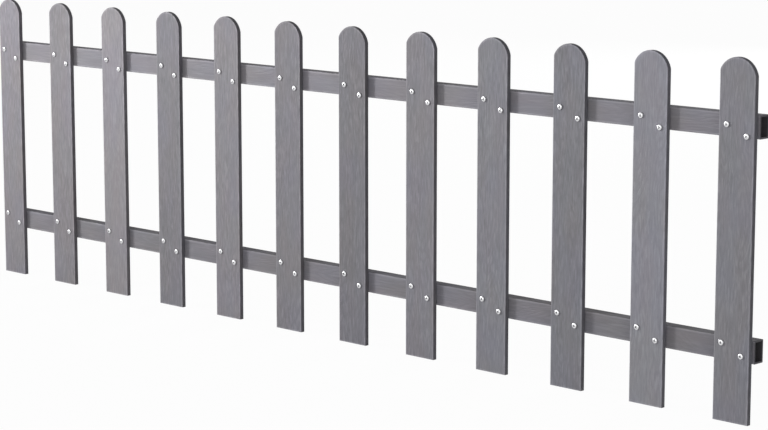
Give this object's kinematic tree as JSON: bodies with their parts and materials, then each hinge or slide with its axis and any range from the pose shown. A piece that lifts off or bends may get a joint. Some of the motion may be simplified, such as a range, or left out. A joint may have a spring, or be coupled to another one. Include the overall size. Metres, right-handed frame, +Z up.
{
  "type": "garden fence panel",
  "caption": "Low picket fence panel in grey wood-plastic composite: round-headed boards screwed across two hollow rails that are open at both ends.",
  "frame": {"origin": "middle of the lower rail's back face, which lies against the posts or wall that hold the panel", "axes": "+X along the panel to the right as seen from the front, +Y from the pickets' front to the rails' back, +Z up"},
  "size_m": [2, 0.033, 0.6],
  "materials": {
    "picket": "grey wood-plastic composite, brushed lengthways, matt",
    "rail": "grey wood-plastic composite, as extruded, matt"
  },
  "bodies": {
    "root": {"lower_rail": "rail", "upper_rail": "rail", "picket_01": "picket", "picket_02": "picket", "picket_03": "picket", "picket_04": "picket", "picket_05": "picket", "picket_06": "picket", "picket_07": "picket", "picket_08": "picket", "picket_09": "picket", "picket_10": "picket", "picket_11": "picket", "picket_12": "picket"}
  },
  "joints": []
}
